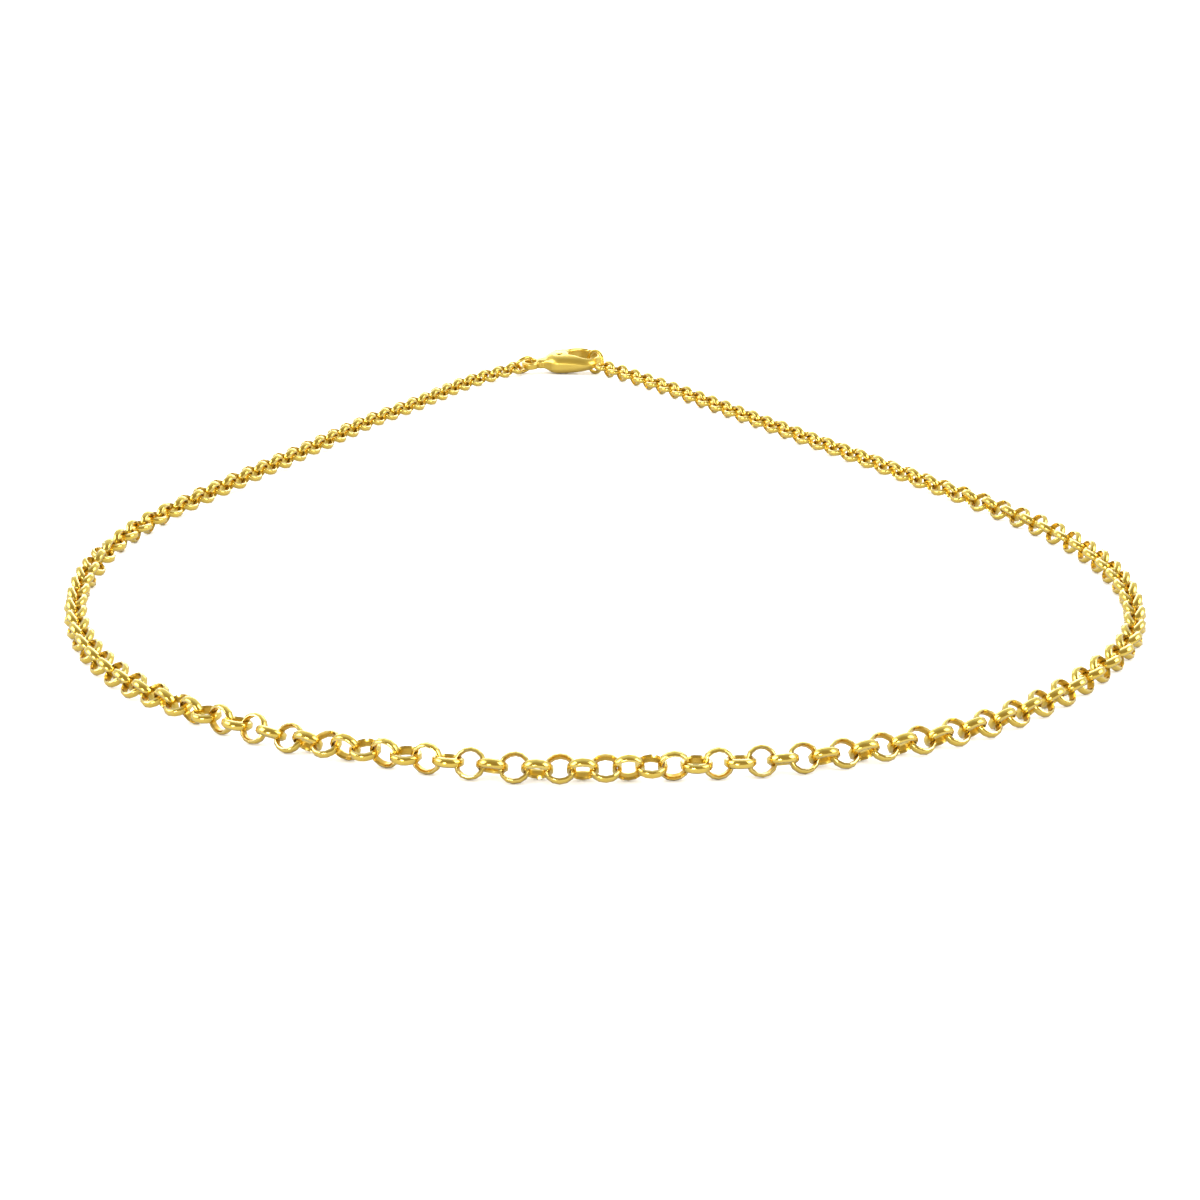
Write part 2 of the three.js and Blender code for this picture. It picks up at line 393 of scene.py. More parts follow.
profile_corners = np.arange(len(profile_outward))
rim_share = np.isin(profile_corners, [0, DOME_CORNERS - 1]).astype(float)
hole_share = (profile_corners >= DOME_CORNERS).astype(float)
link_shape = (LINK_COUNT, LINK_STEPS, len(profile_outward))
link_tone = np.random.default_rng(RANDOM_SEED + 1).uniform(0, 1, LINK_COUNT)
# painted shade: the recess mark darkens each link's inside, most where the next links hang
near_contact = RECESS_LEAST + (1 - RECESS_LEAST) * np.abs(np.cos(step_angles(LINK_STEPS)))
# painted highlight: the rim mark pales the edges between dome and flank
give_values(links, "rim", np.broadcast_to(rim_share, link_shape))
give_values(links, "recess", np.broadcast_to(near_contact[:, None] * hole_share, link_shape))
give_values(links, "tone", np.broadcast_to(link_tone[:, None, None], link_shape))
link_along, link_across = wire_map(LINK_STEPS, len(profile_outward))
link_along = link_along[None] + np.arange(LINK_COUNT)[:, None, None, None]
give_wire_map(links, link_along, np.broadcast_to(link_across, link_along.shape))

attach(links, "necklace")
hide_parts("chain")
print("links marked; mean tone", round(float(link_tone.mean()), 2))

# %% [markdown]
# ## Cast forms as distance rules
#
# The claw of a lobster clasp and its lever are cast: each form melts into the next with a
# small fillet, and no edge is sharp. Boolean modifiers would leave hard seams, and a
# sculpted mesh could not be checked against its measures. So each form is a rule that says
# how far a point lies outside it (less than zero inside). Two rules are joined or crossed
# by taking the smaller or the larger, with a rounding where they meet. The surface is where
# the final rule gives zero, and it is laid over a fine grid of points.

# %% Joining and crossing forms
def both(radius, *rules):
    """Only where all forms are: the largest distance, and within one radius of an edge the
    rules are added as the sides of a right angle, which rounds the edge to that radius."""
    proud = sum(np.maximum(rule + radius, 0) ** 2 for rule in rules)
    return np.minimum(np.maximum.reduce(rules), -radius) + np.sqrt(proud)


def either(radius, *rules):
    """Wherever one form is: the same rounding turned inside out, which makes a fillet."""
    return -both(radius, *[-rule for rule in rules])


print("rounding by 0.5 leaves a sharp corner", round(float(both(0.5, 0, 0)), 2), "outside")


# %% Two simple forms
TINY = 1e-9  # keeps the egg's own middle from dividing by zero


def round_belt(x, y, first, first_radius, second, second_radius):
    """Distance to a belt drawn tight round two discs: past either end, the distance to that
    disc; between them, the distance to the straight flank that touches both."""
    span_x, span_y = second[0] - first[0], second[1] - first[1]
    span = math.hypot(span_x, span_y)
    along = ((x - first[0]) * span_x + (y - first[1]) * span_y) / span
    across = np.abs((x - first[0]) * span_y - (y - first[1]) * span_x) / span
    lean = (first_radius - second_radius) / span
    upright = math.sqrt(1 - lean**2)
    passed = upright * along - lean * across
    flank = upright * across + lean * along - first_radius
    near_first = np.hypot(along, across) - first_radius
    near_second = np.hypot(along - span, across) - second_radius
    return np.where(passed < 0, near_first, np.where(passed > upright * span, near_second, flank))


def egg(x, y, z, centre, half):
    """Nearly the distance to an ellipsoid: with q the length of the point divided by the
    half sizes, it is q (q - 1) over the length of the point divided by their squares."""
    offset = [x - centre[0], y - centre[1], z - centre[2]]
    share = np.sqrt(sum((part / size) ** 2 for part, size in zip(offset, half)))
    slope = np.sqrt(sum((part / size**2) ** 2 for part, size in zip(offset, half)))
    return share * (share - 1) / np.maximum(slope, TINY)


print("a point 5 out is", float(egg(5, 0, 0, (0, 0, 0), (2, 1, 1))), "from an egg that reaches 2")


# %% A point in every grid cell that the surface crosses
def points_in_cells(value):
    """One point for each grid cell that the surface crosses, in grid steps: the mean of
    where it crosses the cell's twelve edges. Each cell also gets its point's number."""
    cells = np.array(value.shape) - 1
    total = np.zeros((*cells, 3))
    crossings = np.zeros(cells)
    for axis in range(3):
        for corner in np.ndindex(2, 2):
            start = np.insert(corner, axis, 0)
            window = [slice(first, first + size) for first, size in zip(start, cells)]
            ahead_window = list(window)
            ahead_window[axis] = slice(1, 1 + cells[axis])
            here, there = value[tuple(window)], value[tuple(ahead_window)]
            crossed = (here < 0) != (there < 0)
            share = np.where(crossed, here / np.where(crossed, here - there, 1), 0)
            total += crossed[..., None] * start
            total[..., axis] += share
            crossings += crossed
    used = np.argwhere(crossings > 0)
    number_of = np.full(cells, -1)
    number_of[tuple(used.T)] = np.arange(len(used))
    return used + total[tuple(used.T)] / crossings[tuple(used.T)][:, None], number_of


lone = np.ones((3, 3, 3))
lone[1, 1, 1] = -1
lone_points, lone_numbers = points_in_cells(lone)
print("round one grid point there are", len(lone_points), "points")


# %% A face round every grid edge that it crosses
def faces_round_edges(inside, number_of):
    """One face for each grid edge that the surface crosses, between the points of the four
    cells around that edge, and turned over where the edge leads inwards."""
    faces = []
    for axis in range(3):
        beside, above = (axis + 1) % 3, (axis + 2) % 3
        starts = np.moveaxis(inside, axis, 0)[:-1]
        crossed = np.moveaxis(starts != np.moveaxis(inside, axis, 0)[1:], 0, axis)
        edge = np.argwhere(crossed)
        leaves = inside[tuple(edge.T)]
        corners = []
        for back_beside, back_above in [(1, 1), (0, 1), (0, 0), (1, 0)]:
            cell = edge.copy()
            cell[:, beside] -= back_beside
            cell[:, above] -= back_above
            corners.append(number_of[tuple(cell.T)])
        quads = np.stack(corners, axis=1)
        quads[~leaves] = quads[~leaves, ::-1]
        faces.append(quads)
    return np.vstack(faces)


print("and between them", len(faces_round_edges(lone < 0, lone_numbers)), "faces")

# %% The net over a rule
NET_STEP = 0.0845
NET_SETTLES = 4
SLOPE_STEP = 0.01
LEAST_STEEPNESS = 0.25  # keeps a point from leaping where the slope fades away


def slope_of(rule, points):
    """How the rule changes along x, y and z: half the difference over two small steps."""
    steps = np.eye(3) * SLOPE_STEP
    changes = [rule(points + step) - rule(points - step) for step in steps]
    return np.stack(changes, axis=-1) / (2 * SLOPE_STEP)


def net_over(rule, low, high):
    """Points and faces where a rule gives zero. After the net is laid over the grid, its
    points slide down the slope onto the surface: each time by the slope, times the rule's
    value, over the slope's square."""
    axes = [np.arange(low[axis], high[axis] + NET_STEP, NET_STEP) for axis in range(3)]
    value = rule(np.stack(np.meshgrid(*axes, indexing="ij"), axis=-1))
    spots, number_of = points_in_cells(value)
    points = np.array(low) + spots * NET_STEP
    for _ in range(NET_SETTLES):
        slope = slope_of(rule, points)
        steepness = np.maximum(np.sum(slope**2, axis=-1), LEAST_STEEPNESS)
        points = points - slope * (rule(points) / steepness)[:, None]
    return points, faces_round_edges(value < 0, number_of)


print("a net has cells of", NET_STEP, "mm")

# %% [markdown]
# ## The clasp's place
#
# The clasp lies on its side behind the two ends of the chain, a little turned and tipped. Its
# measures are easiest in a frame of its own: x from the eye to the tip of the claw, y from
# the back arm to the lever, z through its thickness. Three angles turn that frame, and the
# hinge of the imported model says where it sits. All its measures are in millimetres.

# %% The clasp's own frame
CLASP_TURN = (math.radians(11), math.radians(-3), math.radians(7))
RIVET = (-4.6, -0.4)

hinge = next(joint for joint in frame["joints"] if joint["name"] == "lever_hinge")
clasp_axes = np.array(Euler(CLASP_TURN, "XYZ").to_matrix())
clasp_origin = np.array(hinge["pos_m"]) - clasp_axes @ np.array([*RIVET, 0]) * MM
lean = math.degrees(np.linalg.norm(np.cross(clasp_axes[:, 2], hinge["axis"])))
print("clasp at", np.round(clasp_origin / MM, 2))
print("its hinge is off by", round(lean, 3), "degrees")

# %% A cast piece with its edges and hollows marked
BEND_STEP = 0.12
# bends in 1 / mm: where a rim starts, how much more makes it full, and a full recess
RIM_STARTS, RIM_BEND, RECESS_BEND = 1.0, 5.0, 2.5
CAST_TONE = 0.5


def bend_of(rule, points):
    """How the surface bends: the rule's mean over six near points, less its own value, as a
    sum of second differences. It is over zero on edges and under zero in hollows."""
    steps = np.vstack([np.eye(3), -np.eye(3)]) * BEND_STEP
    around = sum(rule(points + step) for step in steps)
    return (around - len(steps) * rule(points)) / BEND_STEP**2


def cast_piece(name, form, low, high):
    """A piece in the clasp's frame: the net over a form's rule, turned and carried to its
    place, with its edges marked as rims and its hollows as recesses."""
    def rule(spots):
        """The form's distance at an array of spots."""
        return form(*np.moveaxis(spots, -1, 0))

    points, faces = net_over(rule, low, high)
    piece = new_piece(name, points * MM @ clasp_axes.T + clasp_origin, faces.tolist())
    bend = bend_of(rule, points)
    # painted highlight: the rim mark pales the edges of the cast piece
    give_values(piece, "rim", np.clip((bend - RIM_STARTS) / RIM_BEND, 0, 1))
    # painted shade: the recess mark darkens the hollows of the cast piece
    give_values(piece, "recess", np.clip(-bend / RECESS_BEND, 0, 1))
    give_values(piece, "tone", np.full(len(points), CAST_TONE))
    return piece


# %% [markdown]
# ## The claw
#
# Seen from above, the claw is a drop-shaped band: broad and round at its nose, narrower at
# its root. A long low egg gives it its height, fullest near the root. The lever takes the
# place of its far arm, so a slice of it is cut away there, and a slot in the root lets the
# lever's tongue in. A short neck leads to the eye, which holds the jump ring.

# %% The band and its egg
NOSE, NOSE_RADIUS = (0.0, 0.0), 3.45
ROOT, ROOT_RADIUS = (-4.6, -0.2), 2.5
MOUTH_FRONT, MOUTH_FRONT_RADIUS = (0.0, 0.0), 2.15
MOUTH_BACK, MOUTH_BACK_RADIUS = (-1.6, 0.1), 1.35
EGG_CENTRE, EGG_HALF = (-4.0, 0.0, 0.0), (7.7, 4.7, 1.7)
SHOULDER_ROUNDING, MOUTH_ROUNDING = 1.2, 0.5


def drop_band(x, y, z):
    """The drop-shaped outline, less the mouth, no higher than the egg."""
    outline = round_belt(x, y, NOSE, NOSE_RADIUS, ROOT, ROOT_RADIUS)
    mouth = round_belt(x, y, MOUTH_FRONT, MOUTH_FRONT_RADIUS, MOUTH_BACK, MOUTH_BACK_RADIUS)
    pebble = both(SHOULDER_ROUNDING, outline, egg(x, y, z, EGG_CENTRE, EGG_HALF))
    return both(MOUTH_ROUNDING, pebble, -mouth)


def from_rivet(x, y):
    """Distance from the rivet's middle line."""
    return np.hypot(x - RIVET[0], y - RIVET[1])


def slice_round_rivet(x, y, inner, outer, first_angle, last_angle):
    """Distance to a slice of a washer round the rivet, between two radii and two angles."""
    away = from_rivet(x, y)
    first, last = math.radians(first_angle), math.radians(last_angle)
    before = (x - RIVET[0]) * math.sin(first) - (y - RIVET[1]) * math.cos(first)
    after = (y - RIVET[1]) * math.cos(last) - (x - RIVET[0]) * math.sin(last)
    return np.maximum.reduce([away - outer, inner - away, before, after])


print("the band runs from", round(ROOT[0] - ROOT_RADIUS, 2), "to", NOSE[0] + NOSE_RADIUS, "mm")

# %% The eye and the neck
EYE = (-9.7, -0.2)
EYE_INNER, EYE_OUTER, EYE_HALF_HEIGHT = 0.95, 1.6, 0.6
NECK_START, NECK_START_HALF = -8.4, 0.75
NECK_END, NECK_END_HALF = -5.2, 1.62
NECK_HALF_HEIGHT = 0.8
EYE_ROUNDING, NECK_ROUNDING, EYE_HOLE_ROUNDING = 0.3, 0.45, 0.2
EYE_FILLET = 0.6


def eye_and_neck(x, y, z):
    """A round-edged washer for the eye, joined to a neck whose half width grows evenly."""
    away = np.hypot(x - EYE[0], y - EYE[1])
    washer = both(EYE_ROUNDING, away - EYE_OUTER, EYE_INNER - away, np.abs(z) - EYE_HALF_HEIGHT)
    grown = (x - NECK_START) / (NECK_END - NECK_START)
    half_width = NECK_START_HALF + (NECK_END_HALF - NECK_START_HALF) * grown
    sides = np.abs(y - EYE[1]) - half_width
    faces = np.abs(z) - NECK_HALF_HEIGHT
    neck = both(NECK_ROUNDING, sides, faces, NECK_START - x, x - NECK_END)
    return both(EYE_HOLE_ROUNDING, either(EYE_FILLET, washer, neck), EYE_INNER - away)


print("the eye's wall is", round(EYE_OUTER - EYE_INNER, 2), "mm")

# %% The claw as one casting
# slices round the rivet: inner radius, outer radius, first angle, last angle in degrees
LEVER_ROOM = (1.55, 6.3, 3, 120)
LEVER_HEEL_ROOM = (1.55, 2.25, -26, 4)
SLOT_RADIUS, SLOT_HALF_HEIGHT = 1.62, 0.65
RIVET_HOLE = 0.46
NECK_FILLET, ARM_ROUNDING, CUT_ROUNDING, SLOT_ROUNDING = 0.55, 0.16, 0.06, 0.05
CLAW_BOX = (-11.6, -4.0, -2.1), (3.8, 4.0, 2.1)


def claw(x, y, z):
    """The band with its neck and eye, less the lever's room, its slot and the rivet's hole."""
    form = either(NECK_FILLET, drop_band(x, y, z), eye_and_neck(x, y, z))
    form = both(ARM_ROUNDING, form, -slice_round_rivet(x, y, *LEVER_ROOM))
    form = both(CUT_ROUNDING, form, -slice_round_rivet(x, y, *LEVER_HEEL_ROOM))
    away = from_rivet(x, y)
    slot = both(SLOT_ROUNDING, away - SLOT_RADIUS, np.abs(z) - SLOT_HALF_HEIGHT)
    return both(CUT_ROUNDING, form, -slot, RIVET_HOLE - away)


claw_piece = cast_piece("claw", claw, *CLAW_BOX)
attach(claw_piece, "necklace")
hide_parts("clasp_body")
print("claw:", len(claw_piece.data.polygons), "faces")

# %% [markdown]
# ## The lever
#
# The lever closes the far side of the claw. It is the same drop-shaped band between two
# other angles, so that its surface runs on from the claw's. A round tab stands up from it for
# the thumb nail, and a thin tongue in the slot carries it on the rivet.

# %% The lever as one casting
# slices, as for the claw
LEVER_ARM = (1.75, 6.1, 5, 112)
LEVER_WEB = (0.8, 2.15, 40, 104)
THUMB_TAB, THUMB_HALF = (-4.9, 2.25, 0.0), (1.05, 1.0, 1.2)
TONGUE_RADIUS, TONGUE_HALF_HEIGHT = 1.35, 0.5
LEVER_HOLE = 0.48
TAB_FILLET, WEB_FILLET, LEVER_HOLE_ROUNDING = 0.45, 0.12, 0.05
LEVER_BOX = (-7.4, -2.3, -2.1), (2.4, 4.2, 2.1)


def lever(x, y, z):
    """The band and the thumb tab between two angles, joined by a web to the round tongue."""
    arm = either(TAB_FILLET, drop_band(x, y, z), egg(x, y, z, THUMB_TAB, THUMB_HALF))
    arm = both(ARM_ROUNDING, arm, slice_round_rivet(x, y, *LEVER_ARM))
    thin = np.abs(z) - TONGUE_HALF_HEIGHT
    away = from_rivet(x, y)
    tongue = both(CUT_ROUNDING, away - TONGUE_RADIUS, thin)
    web = both(CUT_ROUNDING, slice_round_rivet(x, y, *LEVER_WEB), thin)
    return both(LEVER_HOLE_ROUNDING, either(WEB_FILLET, arm, tongue, web), LEVER_HOLE - away)


lever_piece = cast_piece("lever", lever, *LEVER_BOX)
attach(lever_piece, "lever")
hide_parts("clasp_lever")
print("lever:", len(lever_piece.data.polygons), "faces")

# %% [markdown]
# ## The rivet
#
# The rivet is a pin through both cheeks of the root. Its ends are hammered over into low
# round heads. It is turned like a part on a lathe: one list of radii and heights, carried
# round a circle.

# %% The rivet, turned from its profile
RIVET_PROFILE = [
    # radius, height
    (0.18, 1.82), (0.38, 1.80), (0.52, 1.765), (0.56, 1.725), (0.52, 1.705), (0.40, 1.70),
    (0.40, 0.60), (0.40, -0.60),
    (0.40, -1.70), (0.52, -1.705), (0.56, -1.725), (0.52, -1.765), (0.38, -1.80), (0.18, -1.82),
]
RIVET_SIDES = 28
RIVET_TONE = 0.35


def turned(profile, sides):
    """Rings x sides x 3 points: each radius carried round a circle at its height."""
    radius, height = np.array(profile, float).T
    angle = np.arange(sides) / sides * 2 * math.pi
    return np.stack([
        RIVET[0] + radius[:, None] * np.cos(angle),
        RIVET[1] - radius[:, None] * np.sin(angle),
        np.repeat(height[:, None], sides, axis=1),
    ], axis=-1)


rivet_points = turned(RIVET_PROFILE, RIVET_SIDES) * MM @ clasp_axes.T + clasp_origin
rivet = skin("rivet", rivet_points, False)
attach(rivet, "necklace")
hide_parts("clasp_rivet")
give_values(rivet, "tone", np.full(len(rivet.data.vertices), RIVET_TONE))
print("rivet:", len(rivet.data.polygons), "faces")

# %% [markdown]
# ## The two jump rings
#
# A jump ring is a turn of round wire whose sawn ends meet in a butt joint. A torus has no
# joint, so the wire is swept round its circle instead and stops just short of a full turn.
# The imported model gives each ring's middle; its heading and tilt say how it leans.

# %% Rings of bent wire
RING_WIRE = 0.32
RING_STEPS = 72
RING_SIDES = 18
JOINT_GAP = 0.05
END_ROUNDING = 0.05
RING_TONE = 0.65


def bent_wire(middle, radius, heading, tilt, joint):
    """Rings x sides x 3 points of a wire bent into a circle: at each angle, a small circle
    spanned by the outward direction and the ring's axle. The first and last rings are
    smaller, which rounds the sawn edges."""
    turned_by, leaned_by, opened_at = np.radians([heading, tilt, joint])
    level = np.array([math.cos(turned_by), math.sin(turned_by), 0])
    beside = np.array([-level[1], level[0], 0])
    across = beside * math.cos(leaned_by) + np.array([0, 0, math.sin(leaned_by)])
    axle = np.cross(level, across)
    half_gap = (JOINT_GAP / 2) / radius
    angle = opened_at + np.linspace(half_gap, 2 * math.pi - half_gap, RING_STEPS)
    first, last = angle[0] + END_ROUNDING / radius, angle[-1] - END_ROUNDING / radius
    angle = np.concatenate([[angle[0]], [first], angle[1:-1], [last], [angle[-1]]])
    wire = np.full(len(angle), RING_WIRE)
    wire[[0, -1]] -= END_ROUNDING
    outward = np.cos(angle)[:, None] * level + np.sin(angle)[:, None] * across
    around = np.arange(RING_SIDES) / RING_SIDES * 2 * math.pi
    section = np.cos(around)[None, :, None] * outward[:, None]
    section = section - np.sin(around)[None, :, None] * axle
    return middle + (outward[:, None] * radius + section * wire[:, None, None]) * MM


print("jump ring wire:", 2 * RING_WIRE, "mm thick")

# %% The rings in their places
JUMP_RINGS = [
    # name, node, radius in mm, and in degrees: heading, tilt, where the joint is
    ("end_jump_ring", "end_ring", 1.85, -48, 84, 62),
    ("clasp_jump_ring", "clasp_ring", 1.65, -145, 58, 118),
]

jump_rings = []
for name, node, radius, heading, tilt, joint in JUMP_RINGS:
    low, high = np.array(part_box(node))
    ring = skin(name, bent_wire((low + high) / 2, radius, heading, tilt, joint), False)
    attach(ring, "necklace")
    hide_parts(node)
    along, across = wire_map(RING_STEPS + 1, RING_SIDES)
    on_ends = np.zeros(len(ring.data.loops) - along.size)
    give_wire_map(ring, np.append(along, on_ends), np.append(across, on_ends))
    give_values(ring, "tone", np.full(len(ring.data.vertices), RING_TONE))
    jump_rings.append(ring)
    print(name, "at", np.round((low + high) / 2 / MM, 2))

# %% [markdown]
# ## The gold
#
# The metal is polished yellow gold plate. Its colour is never even: edges are smoother and
# get a painted highlight in paler gold, hollows and the inside of each link are duller and
# get painted shade in a deeper gold, every link took the polish a little differently, and fine
# lines run where the cloth went. One node group works all this out as a colour, a roughness
# and a height, and each material feeds it with its own marks. The shader itself stays in the
# material, where its metal value is a plain number.

# %% Small helpers for nodes
def add_node(tree, kind, **values):
    """A node of a kind, with properties set by name."""
    node = tree.nodes.new(kind)
    for key, value in values.items():
        setattr(node, key, value)
    return node


def feed(tree, socket, source):
    """Links a source socket, or sets a plain value."""
    if isinstance(source, bpy.types.NodeSocket):
        tree.links.new(source, socket)
    else:
        socket.default_value = source


def reckon(tree, operation, *values, clamp=False):
    """A math node of two or three values."""
    node = add_node(tree, "ShaderNodeMath", operation=operation, use_clamp=clamp)
    for socket, value in zip(node.inputs, values):
        feed(tree, socket, value)
    return node.outputs[0]


def add_share(tree, base, source, share, clamp=False):
    """A base value plus a share of another, in two math nodes."""
    return reckon(tree, "ADD", base, reckon(tree, "MULTIPLY", source, share), clamp=clamp)


def blend_colour(tree, share, first, second):
    """A mix of two colours."""
    node = add_node(tree, "ShaderNodeMix", data_type="RGBA")
    feed(tree, node.inputs["Factor"], share)
    feed(tree, node.inputs["A"], first)
    feed(tree, node.inputs["B"], second)
    return node.outputs["Result"]


def noise(tree, where, scale, detail):
    """Noise from 0 to 1 at a vector."""
    node = add_node(tree, "ShaderNodeTexNoise")
    feed(tree, node.inputs["Vector"], where)
    node.inputs["Scale"].default_value = scale
    node.inputs["Detail"].default_value = detail
    return node.outputs["Fac"]


# %% The gold's colours and how far each mark changes it
GOLD = (0.93, 0.72, 0.15, 1)
WARM_GOLD = (0.90, 0.65, 0.10, 1)
# painted shade: the deeper gold that darkens recesses and the inside of the links
SHADED_GOLD = (0.66, 0.38, 0.012, 1)
# painted highlight: the paler gold laid on the rims
HIGHLIGHT_GOLD = (1.0, 0.86, 0.42, 1)
GOLD_SOCKETS = [
    ("INPUT", "Vector", ["Place", "Lines"]),
    ("INPUT", "Float", ["Tone", "Rim", "Recess"]),
    ("INPUT", "Float", ["Base Roughness", "Line Strength", "Ripple Strength"]),
    ("OUTPUT", "Color", ["Color"]),
    ("OUTPUT", "Float", ["Roughness", "Height"]),
]
CLOUD_SCALE, RIPPLE_SCALE, LINE_SCALE = 420.0, 1500.0, 1.0
CLOUD_DETAIL, RIPPLE_DETAIL, LINE_DETAIL = 2.0, 1.0, 3.0
TONE_WARMTH, CLOUD_WARMTH, WARMTH_OFFSET = 0.6, 0.7, -0.15
# how far the painted shade darkens the recesses
RECESS_SHADE_STRENGTH = 0.9
# how far the painted highlight lightens the rims
RIM_NARROWNESS, RIM_HIGHLIGHT_STRENGTH = 2.5, 0.8
RECESS_DULLS, CLOUD_DULLS, RIM_SHINES, LINE_DULLS = 0.16, 0.08, -0.06, 0.05
print("gold from", SHADED_GOLD[:3], "in hollows to", HIGHLIGHT_GOLD[:3], "on rims")


# %% A node group for polished gold
def make_gold_group():
    """Colour: gold to warm gold by tone and cloudiness, then painted shade in deep gold in
    recesses, then a painted highlight in pale gold on rims. Roughness: a base, more in
    recesses, less on rims, varied by clouds. Height: soft ripples, plus fine lines."""
    tree = bpy.data.node_groups.new("polished_gold", "ShaderNodeTree")
    for way, kind, names in GOLD_SOCKETS:
        for name in names:
            tree.interface.new_socket(name, in_out=way, socket_type="NodeSocket" + kind)
    given = add_node(tree, "NodeGroupInput").outputs
    result = add_node(tree, "NodeGroupOutput").inputs

    clouds = noise(tree, given["Place"], CLOUD_SCALE, CLOUD_DETAIL)
    ripples = noise(tree, given["Place"], RIPPLE_SCALE, RIPPLE_DETAIL)
    lines = noise(tree, given["Lines"], LINE_SCALE, LINE_DETAIL)
    rim = reckon(tree, "POWER", given["Rim"], RIM_NARROWNESS)

    warmth = add_share(tree, WARMTH_OFFSET, given["Tone"], TONE_WARMTH)
    warmth = add_share(tree, warmth, clouds, CLOUD_WARMTH, clamp=True)
    # painted shade in the recesses
    painted_shade = reckon(tree, "MULTIPLY", given["Recess"], RECESS_SHADE_STRENGTH, clamp=True)
    # painted highlight on the rims
    painted_highlight = reckon(tree, "MULTIPLY", rim, RIM_HIGHLIGHT_STRENGTH, clamp=True)
    colour = blend_colour(tree, warmth, GOLD, WARM_GOLD)
    colour = blend_colour(tree, painted_shade, colour, SHADED_GOLD)
    colour = blend_colour(tree, painted_highlight, colour, HIGHLIGHT_GOLD)
    tree.links.new(colour, result["Color"])

    roughness = add_share(tree, given["Base Roughness"], given["Recess"], RECESS_DULLS)
    roughness = add_share(tree, roughness, clouds, CLOUD_DULLS)
    roughness = add_share(tree, roughness, rim, RIM_SHINES)
    roughness = add_share(tree, roughness, lines, LINE_DULLS, clamp=True)
    tree.links.new(roughness, result["Roughness"])

    height = reckon(tree, "MULTIPLY", ripples, given["Ripple Strength"])
    height = add_share(tree, height, lines, given["Line Strength"])
    tree.links.new(height, result["Height"])
    return tree


gold_group = make_gold_group()
print("gold group:", len(gold_group.nodes), "nodes")

# %% [markdown]
# ## Three finishes of the same gold
#
# The links were rolled from half-round wire and tumbled, so their lines follow the wire.
# The clasp was cast and buffed by hand: no lines, but soft ripples. The jump rings are drawn
# wire, with the finest lines of all. Each material reads the marks that its piece carries.

# %% One material for each finish
BUMP_DEPTH = 0.01 * MM
LACQUER, LACQUER_ROUGHNESS, LACQUER_BEND = 0.5, 0.10, 1.7


def gold_material(name, base_roughness, line_strength, ripple_strength, line_scale):
    """A gold whose group reads the piece's marks, its place, and its wire map if it has
    lines (with no lines, the place is used for both)."""
    material = bpy.data.materials.new(name)
    material.use_nodes = True
    tree = material.node_tree
    shader = tree.nodes["Principled BSDF"]
    shader.inputs["Metallic"].default_value = 1.0
    shader.inputs["Coat Weight"].default_value = LACQUER
    shader.inputs["Coat Roughness"].default_value = LACQUER_ROUGHNESS
    shader.inputs["Coat IOR"].default_value = LACQUER_BEND
    group = add_node(tree, "ShaderNodeGroup", node_tree=gold_group)
    coordinates = add_node(tree, "ShaderNodeTexCoord")
    stretch = add_node(tree, "ShaderNodeMapping")
    stretch.inputs["Scale"].default_value = line_scale
    lines_from = coordinates.outputs["UV"] if line_strength else coordinates.outputs["Object"]
    tree.links.new(lines_from, stretch.inputs["Vector"])
    tree.links.new(coordinates.outputs["Object"], group.inputs["Place"])
    tree.links.new(stretch.outputs["Vector"], group.inputs["Lines"])
    for mark in ("tone", "rim", "recess"):
        reader = add_node(tree, "ShaderNodeAttribute", attribute_name=mark)
        tree.links.new(reader.outputs["Fac"], group.inputs[mark.title()])
    group.inputs["Base Roughness"].default_value = base_roughness
    group.inputs["Line Strength"].default_value = line_strength
    group.inputs["Ripple Strength"].default_value = ripple_strength
    bump = add_node(tree, "ShaderNodeBump")
    bump.inputs["Distance"].default_value = BUMP_DEPTH
    tree.links.new(group.outputs["Height"], bump.inputs["Height"])
    tree.links.new(group.outputs["Color"], shader.inputs["Base Color"])
    tree.links.new(group.outputs["Roughness"], shader.inputs["Roughness"])
    tree.links.new(bump.outputs["Normal"], shader.inputs["Normal"])
    return material


# %% The finishes on their pieces
FINISHES = [
    # name, roughness, depth of the lines, depth of the ripples, scale of the lines, pieces
    ("link_gold", 0.11, 0.25, 2.2, (6.0, 30.0, 1.0), [links]),
    ("cast_gold", 0.26, 0.0, 1.6, (2500.0, 2500.0, 2500.0), [claw_piece, lever_piece, rivet]),
    ("wire_gold", 0.12, 0.3, 0.8, (8.0, 40.0, 1.0), jump_rings),
]

for name, *numbers, pieces in FINISHES:
    material = gold_material(name, *numbers)
    for piece in pieces:
        piece.data.materials.append(material)
    print(name, "on", [piece.name for piece in pieces])

# %% [markdown]
# ## The light and the table
#
# Polished metal shows its surroundings more than itself, so the studio is what shapes it.
# A white tent would make the gold flat and pale. Here the tent is bright behind and a warm
# dark towards the front, so each link has a darker middle and bright ends. Small lamps would
# leave hard dots; broad soft boxes leave the long soft highlights of a tray shot. One small
# low box in front puts the sparkle into the links and on the flank of the clasp. The tent
# and the table are plain white where they are lit or seen, and dimmer in the metal's mirror.

# %% The table
TABLE_REACH = 12.0
TABLE_WHITE = (0.93, 0.93, 0.93, 1)
TABLE_IN_MIRROR = (0.40, 0.38, 0.345, 1)

table_corners = np.array([(-1, -1, 0), (1, -1, 0), (1, 1, 0), (-1, 1, 0)]) * TABLE_REACH
table_mesh = bpy.data.meshes.new("table")
table_mesh.from_pydata(table_corners.tolist(), [], [(0, 1, 2, 3)])
table = bpy.data.objects.new("table", table_mesh)
bpy.context.scene.collection.objects.link(table)

